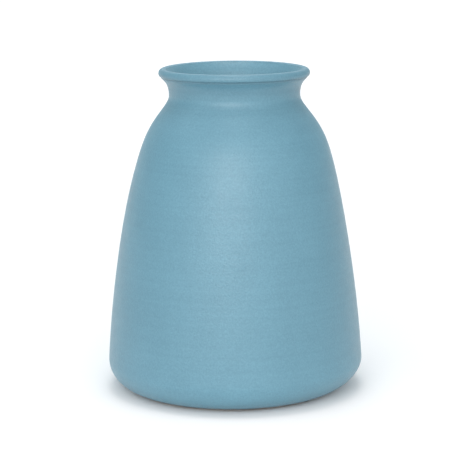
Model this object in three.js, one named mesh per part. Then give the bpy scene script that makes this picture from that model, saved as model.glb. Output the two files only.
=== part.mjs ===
// Flower vase: a hand-thrown stoneware body with a rolled lip, standing on self-adhesive felt pads.
// Millimetres, +Z up. The origin is on the vase's axis, in the plane that the pads stand on.
import * as THREE from "three";

// Driving dimensions. Heights on the body are above the bottom of its foot ring.
const BODY_HEIGHT = 225;
const BELLY_RADIUS = 90; // the widest ring, low on the body
const BELLY_HEIGHT = 20;
const SHOULDER_RADIUS = 64.7;
const SHOULDER_HEIGHT = 172.6;
const NECK_RADIUS = 45.8; // the waist below the lip
const NECK_HEIGHT = 206.3;
const LIP_RADIUS = 3.2; // half the lip's thickness
const LIP_OUTER_RADIUS = 52.5;
const WALL = 6;
const NECK_WALL = 5.3;
const FLOOR_HEIGHT = 9; // the floor inside
const FOOT_OUTER_RADIUS = 71;
const FOOT_INNER_RADIUS = 59;
const RECESS_DEPTH = 3; // the glazed underside inside the foot ring
const PAD_COUNT = 4;
const PAD_RADIUS = 5;
const FELT_THICKNESS = 1.2;
const ADHESIVE_THICKNESS = 0.3;

// The angles at which the wall passes the belly, shoulder, neck and lip, up from the outward radius.
const BELLY_ANGLE = THREE.MathUtils.degToRad(93.6);
const SHOULDER_ANGLE = THREE.MathUtils.degToRad(110);
const NECK_ANGLE = THREE.MathUtils.degToRad(90);
const FLARE_ANGLE = THREE.MathUtils.degToRad(47.4);

// Mesh fineness.
const BODY_SEGMENTS = 72;
const PAD_SEGMENTS = 32;

const FOOT_HEIGHT = FELT_THICKNESS + ADHESIVE_THICKNESS;

const MATTE_GLAZE = new THREE.MeshStandardMaterial({ color: 0x7ba5b9, roughness: 0.6, metalness: 0 });
const GREY_FELT = new THREE.MeshStandardMaterial({ color: 0x4a4845, roughness: 1, metalness: 0 });
const CLEAR_ADHESIVE = new THREE.MeshStandardMaterial({ color: 0xcfc9b8, roughness: 0.4, metalness: 0 });

const point = (r, z) => new THREE.Vector2(r, z);

// The point at a distance from another, in the direction of an angle.
function along(from, angle, distance) {
  return point(from.x + distance * Math.cos(angle), from.y + distance * Math.sin(angle));
}

// A place that the wall's outline passes, with the outline's angle there and how far that angle
// carries into the curve before it and the curve after it.
const station = (at, angle, before, after) => ({ at, angle, before, after });

// The curve between two neighbouring stations, sampled in a number of steps.
function wall(from, to, steps) {
  const curve = new THREE.CubicBezierCurve(
    from.at, along(from.at, from.angle, from.after), along(to.at, to.angle, -to.before), to.at);
  return curve.getPoints(steps);
}

function arc(centre, radius, startAngle, endAngle, clockwise, steps) {
  const curve = new THREE.EllipseCurve(centre.x, centre.y, radius, radius, startAngle, endAngle, clockwise);
  return curve.getPoints(steps);
}

// Half-section of the body: up the outside from the middle of the recess, over the lip, and down the
// inside to the middle of the floor.
function bodyOutline() {
  const quarter = Math.PI / 2;
  const lipCentre = point(LIP_OUTER_RADIUS - LIP_RADIUS, BODY_HEIGHT - LIP_RADIUS);
  const shoulderAt = point(SHOULDER_RADIUS, SHOULDER_HEIGHT);

  const foot = station(point(FOOT_OUTER_RADIUS, 0), 0, 0, 9);
  const belly = station(point(BELLY_RADIUS, BELLY_HEIGHT), BELLY_ANGLE, 10, 54);
  const shoulder = station(shoulderAt, SHOULDER_ANGLE, 31, 19);
  const neck = station(point(NECK_RADIUS, NECK_HEIGHT), NECK_ANGLE, 6.5, 9);
  const underLip = station(along(lipCentre, FLARE_ANGLE - quarter, LIP_RADIUS), FLARE_ANGLE, 4, 0);

  // The same stations one wall thickness further in, from the top down.
  const down = Math.PI;
  const inLip = station(along(lipCentre, FLARE_ANGLE + quarter, LIP_RADIUS), FLARE_ANGLE + down, 0, 5.5);
  const inNeck = station(point(NECK_RADIUS - NECK_WALL, NECK_HEIGHT - 1), NECK_ANGLE + down, 8, 6.5);
  const inShoulder = station(along(shoulderAt, SHOULDER_ANGLE + quarter, WALL), SHOULDER_ANGLE + down, 18, 30);
  const inBelly = station(point(BELLY_RADIUS - WALL, BELLY_HEIGHT + 7), BELLY_ANGLE + down, 50, 10);
  const floorEdge = station(point(FOOT_OUTER_RADIUS - 3, FLOOR_HEIGHT), down, 9, 0);

  const recessEdge = point(FOOT_INNER_RADIUS - RECESS_DEPTH, 0);
  const runs = [
    [point(0, RECESS_DEPTH)],
    arc(recessEdge, RECESS_DEPTH, quarter, 0, true, 4),
    wall(foot, belly, 9),
    wall(belly, shoulder, 11).slice(1),
    wall(shoulder, neck, 8).slice(1),
    wall(neck, underLip, 5).slice(1),
    arc(lipCentre, LIP_RADIUS, FLARE_ANGLE - quarter, FLARE_ANGLE + quarter, false, 9).slice(1),
    wall(inLip, inNeck, 5).slice(1),
    wall(inNeck, inShoulder, 7).slice(1),
    wall(inShoulder, inBelly, 8).slice(1),
    wall(inBelly, floorEdge, 6).slice(1),
    [point(0, FLOOR_HEIGHT)],
  ];
  return runs.flat();
}

// A solid of revolution about Z from an outline of (radius, height) points.
function turned(outline, segments) {
  return new THREE.LatheGeometry(outline, segments).rotateX(Math.PI / 2);
}

function named(name, geometry, material) {
  const mesh = new THREE.Mesh(geometry, material);
  mesh.name = name;
  return mesh;
}

function vaseBody() {
  const body = named("vase_body", turned(bodyOutline(), BODY_SEGMENTS), MATTE_GLAZE);
  body.position.z = FOOT_HEIGHT;
  return body;
}

// A flat disc standing on its own base plane.
function disc(radius, thickness) {
  const outline = [point(0, 0), point(radius, 0), point(radius, thickness), point(0, thickness)];
  return turned(outline, PAD_SEGMENTS);
}

// One stick-on pad: a felt disc with the film of adhesive that joins it to the foot ring.
function footPad(number) {
  const felt = named(`foot_pad_${number}`, disc(PAD_RADIUS, FELT_THICKNESS), GREY_FELT);
  const film = named(`pad_adhesive_${number}`, disc(PAD_RADIUS, ADHESIVE_THICKNESS), CLEAR_ADHESIVE);
  film.position.z = FELT_THICKNESS;
  const pad = new THREE.Group();
  pad.add(felt, film);
  return pad;
}

const vase = new THREE.Group();
vase.add(vaseBody());

// The pads stand evenly round the middle of the foot ring's width.
const padCircle = (FOOT_INNER_RADIUS + FOOT_OUTER_RADIUS) / 2;
for (let i = 0; i < PAD_COUNT; i++) {
  const turn = ((i + 0.5) / PAD_COUNT) * 2 * Math.PI;
  const pad = footPad(i + 1);
  pad.position.set(padCircle * Math.cos(turn), padCircle * Math.sin(turn), 0);
  vase.add(pad);
}

export default vase;
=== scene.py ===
"""Looks of a hand-thrown stoneware flower vase in a matte blue glaze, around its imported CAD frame.

Metres, +Z up. The vase stands on z = 0 with its axis on Z, and the camera looks along +Y.
"""

import math

import bpy
import numpy as np
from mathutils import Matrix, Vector


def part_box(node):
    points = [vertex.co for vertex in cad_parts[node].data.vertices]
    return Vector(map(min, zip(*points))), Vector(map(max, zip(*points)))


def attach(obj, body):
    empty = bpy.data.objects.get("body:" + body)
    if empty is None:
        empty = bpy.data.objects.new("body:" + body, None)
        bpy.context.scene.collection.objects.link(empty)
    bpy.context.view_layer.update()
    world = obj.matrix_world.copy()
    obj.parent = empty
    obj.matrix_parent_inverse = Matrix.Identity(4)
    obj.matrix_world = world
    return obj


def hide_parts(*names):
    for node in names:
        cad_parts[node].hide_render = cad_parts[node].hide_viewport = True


MM = 0.001

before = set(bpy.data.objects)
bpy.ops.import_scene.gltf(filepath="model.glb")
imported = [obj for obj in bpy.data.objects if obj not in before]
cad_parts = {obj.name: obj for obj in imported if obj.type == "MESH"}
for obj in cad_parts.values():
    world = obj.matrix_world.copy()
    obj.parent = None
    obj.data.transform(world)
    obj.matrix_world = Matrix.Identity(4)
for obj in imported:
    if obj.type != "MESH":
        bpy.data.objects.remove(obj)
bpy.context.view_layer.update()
body_low, body_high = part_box("vase_body")


# ---------------------------------------------------------------- camera

CAMERA_TARGET = Vector((0, 0, 0.1081))  # on the vase's axis
CAMERA_DISTANCE = 1.2934
CAMERA_ELEVATION = math.radians(10.96)
CAMERA_ROLL = math.radians(-0.43)
LENS = 140.2  # on a 36 mm wide sensor
SHIFT_X = 0.0011  # the vase stands a touch left of the picture's middle


def make_camera():
    data = bpy.data.cameras.new("camera")
    data.sensor_width = 36
    data.lens = LENS
    data.shift_x = SHIFT_X
    camera = bpy.data.objects.new("camera", data)
    bpy.context.scene.collection.objects.link(camera)
    back = Vector((0, -math.cos(CAMERA_ELEVATION), math.sin(CAMERA_ELEVATION)))
    camera.location = CAMERA_TARGET + back * CAMERA_DISTANCE
    camera.rotation_euler = (math.pi / 2 - CAMERA_ELEVATION, 0, 0)
    camera.rotation_euler.rotate_axis("Z", CAMERA_ROLL)
    bpy.context.scene.camera = camera


# ---------------------------------------------------------------- shader helpers

def node(tree, kind, inputs=None, **settings):
    """Adds a node. An input's value is a number, a vector, a colour or another node's output."""
    made = tree.nodes.new("ShaderNode" + kind)
    for name, value in settings.items():
        setattr(made, name, value)
    for name, value in (inputs or {}).items():
        socket = made.inputs[name]
        if isinstance(value, bpy.types.NodeSocket):
            tree.links.new(value, socket)
        else:
            socket.default_value = value
    return made


def noise(tree, coordinates, scale, detail=2.0, roughness=0.5):
    """Noise of about 1 / scale metres, from 0 to 1 around 0.5."""
    inputs = {"Vector": coordinates, "Scale": scale, "Detail": detail, "Roughness": roughness}
    return node(tree, "TexNoise", inputs).outputs["Fac"]


def stretched(tree, coordinates, scale):
    """The coordinates multiplied by a vector, for patterns that run round the wheel."""
    return node(tree, "Mapping", {"Vector": coordinates, "Scale": scale}).outputs["Vector"]


def math_node(tree, operation, first, second):
    return node(tree, "Math", {0: first, 1: second}, operation=operation).outputs[0]


def multiply_add(tree, value, factor, addend):
    return node(tree, "Math", {0: value, 1: factor, 2: addend}, operation="MULTIPLY_ADD").outputs[0]


def remap(tree, value, old_low, old_high, new_low, new_high):
    """Maps one range to another, and holds the value at the new range's ends."""
    inputs = {
        "Value": value,
        "From Min": old_low,
        "From Max": old_high,
        "To Min": new_low,
        "To Max": new_high,
    }
    return node(tree, "MapRange", inputs, clamp=True).outputs["Result"]


def mix_colour(tree, factor, first, second):
    made = tree.nodes.new("ShaderNodeMix")
    made.data_type = "RGBA"
    for socket, value in ((made.inputs[0], factor), (made.inputs[6], first), (made.inputs[7], second)):
        if isinstance(value, bpy.types.NodeSocket):
            tree.links.new(value, socket)
        else:
            socket.default_value = value
    return made.outputs[2]


def bump(tree, height, strength, distance, under=None):
    inputs = {"Height": height, "Strength": strength, "Distance": distance}
    if under is not None:
        inputs["Normal"] = under
    return node(tree, "Bump", inputs).outputs["Normal"]


def new_material(name):
    """A material with only a Principled shader, and its tree, shader and object coordinates."""
    material = bpy.data.materials.new(name)
    material.use_nodes = True
    tree = material.node_tree
    shader = tree.nodes["Principled BSDF"]
    coordinates = node(tree, "TexCoord").outputs["Object"]
    return material, tree, shader, coordinates


def connect(tree, shader, **outputs):
    for name, output in outputs.items():
        tree.links.new(output, shader.inputs[name.replace("_", " ")])


# ---------------------------------------------------------------- materials

GLAZE_THIN = (0.127, 0.281, 0.360, 1)  # where the glaze breaks over a grain
GLAZE_THICK = (0.093, 0.214, 0.279, 1)  # where it pools between grains
PAINTED_SHADING_STRENGTH = 0.10  # painted shade: how much darker the glaze is made for each unit of painted shading on the mesh, and lighter as painted light below 0
GLAZE_SPECULAR = 0.52
BARE_CLAY = (0.370, 0.330, 0.280, 1)
BARE_CLAY_DARK = (0.260, 0.225, 0.185, 1)
GLAZE_LINE = 0.05 * MM  # how far above the foot ring's bottom the glaze was wiped off

# Noise scales, in features a metre.
CLOUDS = 38
SPECKLES = 850
THROWING_LINES = (4, 4, 420)  # long round the wheel, and fine up the wall
ORANGE_PEEL = 750
FINE_GRAIN = 2600
CLAY_SAND = 1400


def glaze_material():
    """Matte stoneware glaze, with bare clay where the foot ring was wiped clean for the kiln."""
    material, tree, shader, coordinates = new_material("matte_glaze")
    height = node(tree, "SeparateXYZ", {"Vector": coordinates}).outputs["Z"]

    cloud = noise(tree, coordinates, CLOUDS, detail=3)
    speckle = noise(tree, coordinates, SPECKLES, detail=3, roughness=0.7)
    throwing_lines = noise(tree, stretched(tree, coordinates, THROWING_LINES), 1, detail=3)
    tone = math_node(tree, "MULTIPLY", cloud, 0.18)
    tone = multiply_add(tree, throwing_lines, 0.14, tone)
    tone = multiply_add(tree, speckle, 0.65, tone)
    glaze = mix_colour(tree, remap(tree, tone, 0.34, 0.66, 0, 1), GLAZE_THICK, GLAZE_THIN)
    # Painted shade and light from the mesh: the glaze is darkened where the value is above 0 and lightened
    # where it is below 0.
    painted_shading_value = node(tree, "Attribute", attribute_name="painted_shading").outputs["Fac"]
    painted_shading_factor = multiply_add(tree, painted_shading_value, -PAINTED_SHADING_STRENGTH, 1)
    glaze = node(tree, "VectorMath", {0: glaze, "Scale": painted_shading_factor}, operation="SCALE").outputs["Vector"]

    sand = noise(tree, coordinates, CLAY_SAND, detail=3, roughness=0.7)
    clay = mix_colour(tree, remap(tree, sand, 0.35, 0.65, 0, 1), BARE_CLAY_DARK, BARE_CLAY)
    wavy = math_node(tree, "MULTIPLY", noise(tree, coordinates, 70), 0.04 * MM)
    wiped_to = body_low.z + GLAZE_LINE
    bare = remap(tree, math_node(tree, "ADD", height, wavy), wiped_to, wiped_to + 0.02 * MM, 1, 0)

    glaze_roughness = remap(tree, noise(tree, coordinates, 160), 0.3, 0.7, 0.35, 0.41)
    roughness = node(
        tree, "MapRange", {"Value": bare, "To Min": glaze_roughness, "To Max": 0.95}).outputs["Result"]

    orange_peel = noise(tree, coordinates, ORANGE_PEEL, detail=2)
    fine_grain = noise(tree, coordinates, FINE_GRAIN, detail=2, roughness=0.6)
    normal = bump(tree, throwing_lines, 0.30, 0.08 * MM)
    normal = bump(tree, orange_peel, 0.40, 0.48 * MM, under=normal)
    normal = bump(tree, fine_grain, 0.30, 0.08 * MM, under=normal)

    colour = mix_colour(tree, bare, glaze, clay)
    connect(tree, shader, Base_Color=colour, Roughness=roughness, Normal=normal)
    shader.inputs["Specular IOR Level"].default_value = GLAZE_SPECULAR
    return material


def felt_material():
    """Dense grey wool felt: short matted fibres with a little fuzz."""
    material, tree, shader, coordinates = new_material("grey_felt")
    fibres = noise(tree, stretched(tree, coordinates, (1, 3.5, 1)), 1500, detail=6, roughness=0.75)
    matting = noise(tree, coordinates, 600, detail=4)
    shade = remap(tree, math_node(tree, "MULTIPLY", fibres, matting), 0.15, 0.38, 0, 1)
    colour = mix_colour(tree, shade, (0.030, 0.028, 0.026, 1), (0.120, 0.115, 0.108, 1))
    normal = bump(tree, fibres, 0.8, 0.25 * MM)
    connect(tree, shader, Base_Color=colour, Normal=normal)
    shader.inputs["Roughness"].default_value = 1
    shader.inputs["Sheen Weight"].default_value = 0.4
    return material


def adhesive_material():
    """A pale, slightly cloudy film of pressure-sensitive adhesive."""
    material, tree, shader, coordinates = new_material("clear_adhesive")
    cloud = noise(tree, coordinates, 900, detail=3)
    colour = mix_colour(tree, cloud, (0.50, 0.46, 0.37, 1), (0.72, 0.69, 0.60, 1))
    connect(
        tree, shader, Base_Color=colour, Roughness=remap(tree, cloud, 0.3, 0.7, 0.3, 0.5),
        Normal=bump(tree, cloud, 0.3, 0.05 * MM))
    return material


# ---------------------------------------------------------------- the body's outline, in millimetres

# Heights are above the bottom of the foot ring, and angles are up from the outward radius.
BODY_HEIGHT = (body_high.z - body_low.z) / MM
BELLY_RADIUS = (body_high.x - body_low.x) / 2 / MM
BELLY_HEIGHT = 20
SHOULDER_AT = (64.7, 172.6)
NECK_AT = (45.8, 206.3)
LIP_RADIUS = 3.2  # half the rolled lip's thickness
LIP_CENTRE = (49.6, BODY_HEIGHT - LIP_RADIUS)
WALL = 6
NECK_WALL = 5.3
FOOT_INNER_RADIUS = 59
FOOT_OUTER_RADIUS = 71
FOOT_BEVEL = 0.8
RECESS_DEPTH = 3
FLOOR_HEIGHT = 9
UP = math.radians(90)
HEEL_ANGLE = math.radians(4)
BELLY_ANGLE = math.radians(93.6)
SHOULDER_ANGLE = math.radians(110)
FLARE_ANGLE = math.radians(47.4)
INWARD = math.radians(180)

# Mesh fineness: how far apart the rings lie along the outline, and the steps round each ring.
RING_SPACING = 1.9
FINE_SPACING = 0.7
SEGMENTS = 240


def along(start, angle, distance):
    return (start[0] + distance * math.cos(angle), start[1] + distance * math.sin(angle))


def steps_for(length, spacing):
    return max(2, round(length / spacing))


def line(start, end, spacing=RING_SPACING):
    count = steps_for(math.dist(start, end), spacing)
    share = np.linspace(0, 1, count + 1)[:, None]
    return np.array(start) * (1 - share) + np.array(end) * share


def arc(centre, radius, start_angle, end_angle, spacing=FINE_SPACING):
    count = steps_for(abs(end_angle - start_angle) * radius, spacing)
    angles = np.linspace(start_angle, end_angle, count + 1)
    return np.stack([centre[0] + radius * np.cos(angles), centre[1] + radius * np.sin(angles)], 1)


def wall(start, end, spacing=RING_SPACING):
    """A cubic curve between two stations, each (point, angle, reach before it, reach after it)."""
    a, d = start[0], end[0]
    b, c = along(a, start[1], start[3]), along(d, end[1], -end[2])
    length = math.dist(a, b) + math.dist(b, c) + math.dist(c, d)
    t = np.linspace(0, 1, steps_for(length, spacing) + 1)[:, None]
    a, b, c, d = (np.array(p) for p in (a, b, c, d))
    return (1 - t) ** 3 * a + 3 * (1 - t) ** 2 * t * b + 3 * (1 - t) * t**2 * c + t**3 * d


def body_outline():
    """The half-section's points, each with its zone, from the recess up the outside to the inside floor."""
    foot = ((FOOT_OUTER_RADIUS, 0), HEEL_ANGLE, 0, 9)
    belly = ((BELLY_RADIUS, BELLY_HEIGHT), BELLY_ANGLE, 10, 54)
    shoulder = (SHOULDER_AT, SHOULDER_ANGLE, 31, 21)
    neck = (NECK_AT, UP, 7.5, 9)
    under_lip = (along(LIP_CENTRE, FLARE_ANGLE - UP, LIP_RADIUS), FLARE_ANGLE, 4, 0)

    in_lip = (along(LIP_CENTRE, FLARE_ANGLE + UP, LIP_RADIUS), FLARE_ANGLE + INWARD, 0, 5.5)
    in_neck = ((NECK_AT[0] - NECK_WALL, NECK_AT[1] - 1), UP + INWARD, 8, 6.5)
    in_shoulder = (along(SHOULDER_AT, SHOULDER_ANGLE + UP, WALL), SHOULDER_ANGLE + INWARD, 18, 30)
    in_belly = ((BELLY_RADIUS - WALL, BELLY_HEIGHT + 7), BELLY_ANGLE + INWARD, 50, 10)
    floor_edge = ((FOOT_OUTER_RADIUS - 3, FLOOR_HEIGHT), INWARD, 9, 0)

    recess_edge = (FOOT_INNER_RADIUS - RECESS_DEPTH, 0)
    bevel_centre = (FOOT_INNER_RADIUS + FOOT_BEVEL, FOOT_BEVEL)
    recess_end = math.asin(FOOT_BEVEL / RECESS_DEPTH)
    runs = [
        ("foot", line((0, RECESS_DEPTH), (recess_edge[0], RECESS_DEPTH), spacing=3)),
        ("foot", arc(recess_edge, RECESS_DEPTH, UP, recess_end)),
        ("foot", arc(bevel_centre, FOOT_BEVEL, INWARD, INWARD + UP, spacing=0.4)),
        ("foot", line((bevel_centre[0], 0), foot[0])),
        ("outside", wall(foot, belly, spacing=1.2)),
        ("outside", wall(belly, shoulder)),
        ("outside", wall(shoulder, neck, spacing=1.4)),
        ("flare", wall(neck, under_lip, spacing=0.5)),
        ("lip", arc(LIP_CENTRE, LIP_RADIUS, FLARE_ANGLE - UP, FLARE_ANGLE + UP, spacing=0.5)),
        ("inside", wall(in_lip, in_neck, spacing=1.0)),
        ("inside", wall(in_neck, in_shoulder, spacing=1.6)),
        ("inside", wall(in_shoulder, in_belly, spacing=2.1)),
        ("inside", wall(in_belly, floor_edge)),
        ("floor", line(floor_edge[0], (0, FLOOR_HEIGHT))),
    ]
    points = np.concatenate([run[1:] for _, run in runs])
    zones = np.concatenate([[name] * (len(run) - 1) for name, run in runs])
    return points, zones


# ---------------------------------------------------------------- the potter's marks, in millimetres

# Each spiral ridge's pitch along the wall, its start as a share of a turn, and its height.
OUTSIDE_RIDGES = ((7.3, 0, 0.018), (3.1, 0.3, 0.010))
INSIDE_RIDGES = ((9.0, 0.2, 0.3), (4.1, 0, 0.1))
FLOOR_RIDGES = ((8.0, 0.6, 0.35),)
CREASE_BELOW_LIP = 0.5  # how far down the flare from the lip's roll it lies
CREASE_DEPTH = 0.5
CREASE_WIDTH = 0.42
FOOT_OFFSET = -1.45  # how far along X the foot was trimmed off the belly's centre
LIP_WAVE = 0.15  # how far the lip's edge is from level

# Painted shade and light in the glaze's colour, where 0 leaves the glaze's own colour: above 0 is painted
# shade (under the lip, on the lip, in the crease below it), below 0 is painted light (the heel, inside the
# mouth).
NECK_PAINTED_SHADE = 1.1
LIP_PAINTED_SHADE = 0.6
CREASE_PAINTED_SHADE = 2.8
HEEL_PAINTED_LIGHT = 0.7
MOUTH_PAINTED_LIGHT = 0.6


def smooth_step(value, low, high):
    t = np.clip((value - low) / (high - low), 0, 1)
    return t * t * (3 - 2 * t)


def bell(value, middle, width):
    return np.exp(-(((value - middle) / width) ** 2) / 2)


def wander(z):
    """How far the wheel-thrown wall strays sideways, along X, at each height."""
    lean = 0.5 * smooth_step(z, 100, 190) + 0.5 * bell(z, 175, 22)
    return lean + FOOT_OFFSET * (1 - smooth_step(z, 0, BELLY_HEIGHT))


def run_along(points):
    """How far along the outline each of its points lies."""
    steps = np.linalg.norm(np.diff(points, axis=0, prepend=points[:1]), axis=1)
    return np.cumsum(steps)[:, None]


def crease_place(run, zones):
    """Where the rolled edge of the lip was pressed against the flare below it."""
    return run[np.flatnonzero(zones == "flare")[-1]] - CREASE_BELOW_LIP


def ridges(run, turn, spirals):
    """The height of finger marks that climb the wall as the wheel turns."""
    return sum(
        height * np.sin(2 * math.pi * (run / pitch + start) - turn) for pitch, start, height in spirals)


def hand_marks(points, zones, turn):
    """How far each point of the surface stands proud of the outline, for every ring and turn."""
    run = run_along(points)
    height = points[:, 1:2]
    swell = 0.6 + 0.4 * np.sin(run / 23 + 2 * np.sin(turn))

    below_neck = 1 - smooth_step(height, 190, 205)
    outside = (zones == "outside")[:, None] * smooth_step(height, 8, 30) * below_neck
    inside = (zones == "inside")[:, None] * (1 - smooth_step(height, 196, 206))
    on_floor = (zones == "floor")[:, None] * smooth_step(points[:, :1], 0, 12)
    marks = outside * swell * ridges(run, turn, OUTSIDE_RIDGES)
    marks = marks + inside * swell * ridges(run, turn, INSIDE_RIDGES)
    marks = marks + on_floor * ridges(run, turn, FLOOR_RIDGES)
    return marks - CREASE_DEPTH * bell(run, crease_place(run, zones), CREASE_WIDTH)


def out_of_round(height, turn):
    """How much wider than a circle the wall is. The foot, trimmed on the wheel, is true."""
    lobes = 0.18 * np.sin(2 * turn + height / 60) + 0.08 * np.sin(3 * turn - height / 45)
    return smooth_step(height, 6, 40) * lobes


def painted_shading(points, zones):
    """Painted shade and light on each ring: above 0 the glaze is darkened as painted shade, and below 0 it
    is lightened as painted light.
    """
    run = run_along(points)[:, 0]
    height = points[:, 1]
    neck = (zones == "flare") * bell(height, 212, 3.6)
    heel = (zones == "outside") * (1 - smooth_step(height, 4, 60))
    mouth = (zones == "inside") * smooth_step(height, 190, 205)
    crease = bell(run, crease_place(run, zones), 0.9)
    painted_shade = NECK_PAINTED_SHADE * neck + LIP_PAINTED_SHADE * (zones == "lip") + CREASE_PAINTED_SHADE * crease
    return painted_shade - HEEL_PAINTED_LIGHT * heel - MOUTH_PAINTED_LIGHT * mouth


def strip_faces(ring_count, segments):
    """The quads between neighbouring rings of vertices."""
    faces = []
    for i in range(ring_count - 1):
        a, b = i * segments, (i + 1) * segments
        for j in range(segments):
            k = (j + 1) % segments
            faces.append((a + j, a + k, b + k, b + j))
    return faces


def body_mesh():
    points, zones = body_outline()
    tangent = np.gradient(points, axis=0)
    tangent /= np.linalg.norm(tangent, axis=1)[:, None]
    turn = (np.arange(SEGMENTS) / SEGMENTS * 2 * math.pi)[None, :]
    proud = hand_marks(points, zones, turn)
    radius = points[:, :1] + tangent[:, 1:2] * proud + out_of_round(points[:, 1:2], turn)
    height = points[:, 1:2] - tangent[:, :1] * proud
    height = height - smooth_step(points[:, 1:2], 200, 222) * LIP_WAVE * np.cos(2 * turn)
    x = radius * np.cos(turn) + wander(height)
    y = radius * np.sin(turn)
    rings = np.stack([x, y, height], 2)[:-1] * MM + np.array([0, 0, body_low.z])

    recess_middle = (wander(RECESS_DEPTH) * MM, 0, RECESS_DEPTH * MM + body_low.z)
    floor_middle = (wander(FLOOR_HEIGHT) * MM, 0, FLOOR_HEIGHT * MM + body_low.z)
    vertices = [*rings.reshape(-1, 3).tolist(), recess_middle, floor_middle]
    faces = strip_faces(len(rings), SEGMENTS)
    last = (len(rings) - 1) * SEGMENTS
    for j in range(SEGMENTS):
        k = (j + 1) % SEGMENTS
        faces.append((len(vertices) - 2, k, j))
        faces.append((len(vertices) - 1, last + j, last + k))
    painted_shading_values = [*np.repeat(painted_shading(points, zones)[:-1], SEGMENTS), 0, 0]
    return vertices, faces, painted_shading_values


def mesh_object(name, vertices, faces, material):
    mesh = bpy.data.meshes.new(name)
    mesh.from_pydata(vertices, [], faces)
    mesh.materials.append(material)
    mesh.shade_smooth()
    made = bpy.data.objects.new(name, mesh)
    bpy.context.scene.collection.objects.link(made)
    return made


def make_body():
    vertices, faces, painted_shading_values = body_mesh()
    body = mesh_object("glazed_body", vertices, faces, glaze_material())
    # Store the painted shade and light that the glaze material reads.
    body.data.attributes.new("painted_shading", "FLOAT", "POINT").data.foreach_set("value", painted_shading_values)
    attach(body, "root")
    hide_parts("vase_body")


# ---------------------------------------------------------------- felt pads

PAD_COUNT = 4
PAD_SEGMENTS = 72
PAD_CORNER = 0.35  # the felt's rounded edge, as a share of its thickness
RAGGEDNESS = 0.006  # how far its edge strays, as a share of its radius


def make_felt_pad(number, material):
    """A die-cut felt disc: a rounded, slightly ragged edge and matted faces, inside its CAD disc's box."""
    low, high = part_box(f"foot_pad_{number}")
    centre = (low + high) / 2
    radius = (high.x - low.x) / 2
    thickness = high.z - low.z
    corner = PAD_CORNER * thickness
    face = [(r, 0) for r in np.linspace(0.08, 0.88, 10) * radius]
    quarter = np.linspace(0, math.pi / 2, 7)
    rounding = [(radius - corner * (1 - math.sin(a)), corner * (1 - math.cos(a))) for a in quarter]
    lower = face + rounding
    upper = [(r, thickness - z) for r, z in lower[::-1]]
    turn = np.arange(PAD_SEGMENTS) / PAD_SEGMENTS * 2 * math.pi
    rings = []
    for r, z in lower + upper:
        ragged = 1 - RAGGEDNESS * (1 + np.sin(7 * turn + number) * np.sin(17 * turn)) * (r / radius) ** 4
        rings.append([
            (centre.x + r * g * math.cos(t), centre.y + r * g * math.sin(t), low.z + z)
            for t, g in zip(turn, ragged)
        ])
    vertices = [v for ring in rings for v in ring]
    faces = strip_faces(len(rings), PAD_SEGMENTS)
    faces.append(tuple(range(PAD_SEGMENTS))[::-1])
    faces.append(tuple(range(len(vertices) - PAD_SEGMENTS, len(vertices))))
    pad = mesh_object(f"felt_pad_{number}", vertices, faces, material)
    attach(pad, "root")
    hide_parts(f"foot_pad_{number}")


def make_pads():
    felt = felt_material()
    adhesive = adhesive_material()
    for number in range(1, PAD_COUNT + 1):
        make_felt_pad(number, felt)
        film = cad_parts[f"pad_adhesive_{number}"]
        film.data.materials.clear()
        film.data.materials.append(adhesive)


# ---------------------------------------------------------------- floor and light

FLOOR_SIZE = 30
FLOOR_GLOW = 0.02  # the pale floor glows faintly
FAR_FLOOR_GLOW = 0.39  # and this much more far from the vase
GLOW_START = 0.3  # metres from the vase where it starts to rise
GLOW_END = 3
WORLD_STRENGTH = 0.42
WORLD_FRONT_STRENGTH = 1.25  # what a bright studio wall on the camera's side adds
WORLD_BACK_STRENGTH = 0.4  # and what the cooler wall behind the vase adds
COOL = (0.78, 0.93, 1.0)


def make_floor():
    half = FLOOR_SIZE / 2
    corners = [(-half, -half, 0), (half, -half, 0), (half, half, 0), (-half, half, 0)]
    material, tree, shader, coordinates = new_material("white_sweep")
    cloud = remap(tree, noise(tree, coordinates, 3), 0.3, 0.7, 0, 1)
    shade = mix_colour(tree, cloud, (0.930, 0.903, 0.895, 1), (0.950, 0.923, 0.915, 1))
    distance = node(tree, "VectorMath", {0: coordinates}, operation="LENGTH").outputs["Value"]
    glow = node(tree, "MapRange", {
        "Value": distance, "From Min": GLOW_START, "From Max": GLOW_END, "To Min": FLOOR_GLOW,
        "To Max": FLOOR_GLOW + FAR_FLOOR_GLOW}, interpolation_type="SMOOTHSTEP").outputs["Result"]
    connect(tree, shader, Base_Color=shade, Emission_Strength=glow)
    shader.inputs["Roughness"].default_value = 1
    shader.inputs["Specular IOR Level"].default_value = 0
    shader.inputs["Emission Color"].default_value = (1, 1, 1, 1)
    floor = mesh_object("floor", corners, [(0, 1, 2, 3)], material)


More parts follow.
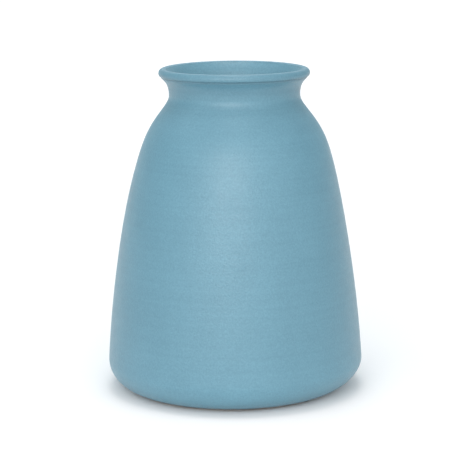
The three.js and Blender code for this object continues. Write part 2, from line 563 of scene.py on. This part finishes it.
def make_world():
    world = bpy.data.worlds.new("white_surround")
    world.use_nodes = True
    tree = world.node_tree
    direction = node(tree, "TexCoord").outputs["Generated"]
    backward = node(tree, "SeparateXYZ", {"Vector": direction}).outputs["Y"]
    front_glow = remap(tree, backward, -1, 0, WORLD_FRONT_STRENGTH, 0)
    back_glow = remap(tree, backward, 0, 1, 0, WORLD_BACK_STRENGTH)
    glow = math_node(tree, "ADD", math_node(tree, "ADD", front_glow, back_glow), WORLD_STRENGTH)
    cool_share = remap(tree, backward, 0, 0.3, 0, 1)
    background = tree.nodes["Background"]
    tree.links.new(mix_colour(tree, cool_share, (1, 1, 1, 1), (*COOL, 1)), background.inputs["Color"])
    tree.links.new(glow, background.inputs["Strength"])
    bpy.context.scene.world = world


def make_softbox(name, azimuth, elevation, distance, size, power, colour=(1, 1, 1)):
    """A softbox of (width, height) aimed at the vase. Azimuth 0 is the camera's side, and 90 is +X."""
    data = bpy.data.lights.new(name, "AREA")
    data.shape = "RECTANGLE"
    data.size, data.size_y = size
    data.energy = power
    data.color = colour
    light = bpy.data.objects.new(name, data)
    bpy.context.scene.collection.objects.link(light)
    a, e = math.radians(azimuth), math.radians(elevation)
    away = Vector((math.sin(a) * math.cos(e), -math.cos(a) * math.cos(e), math.sin(e)))
    light.location = CAMERA_TARGET + away * distance
    light.rotation_euler = away.to_track_quat("Z", "Y").to_euler()


def make_lights():
    make_softbox("key", -5, elevation=22, distance=1.6, size=(1.0, 0.65), power=7.3)
    make_softbox("overhead", 0, elevation=88, distance=1.3, size=(0.6, 0.6), power=4.6)
    make_softbox("left_front", -30, elevation=15, distance=1.8, size=(0.8, 0.8), power=1.6)
    make_softbox("left_fill", -95, elevation=50, distance=1.6, size=(0.8, 0.8), power=1.7, colour=COOL)
    make_softbox("right_fill", 95, elevation=50, distance=1.6, size=(0.8, 0.8), power=0.6, colour=COOL)
    make_softbox("back", 180, elevation=45, distance=2.0, size=(1.2, 1.2), power=6.5, colour=COOL)


make_camera()
make_body()
make_pads()
make_floor()
make_world()
make_lights()
bpy.context.scene.view_settings.view_transform = "Standard"
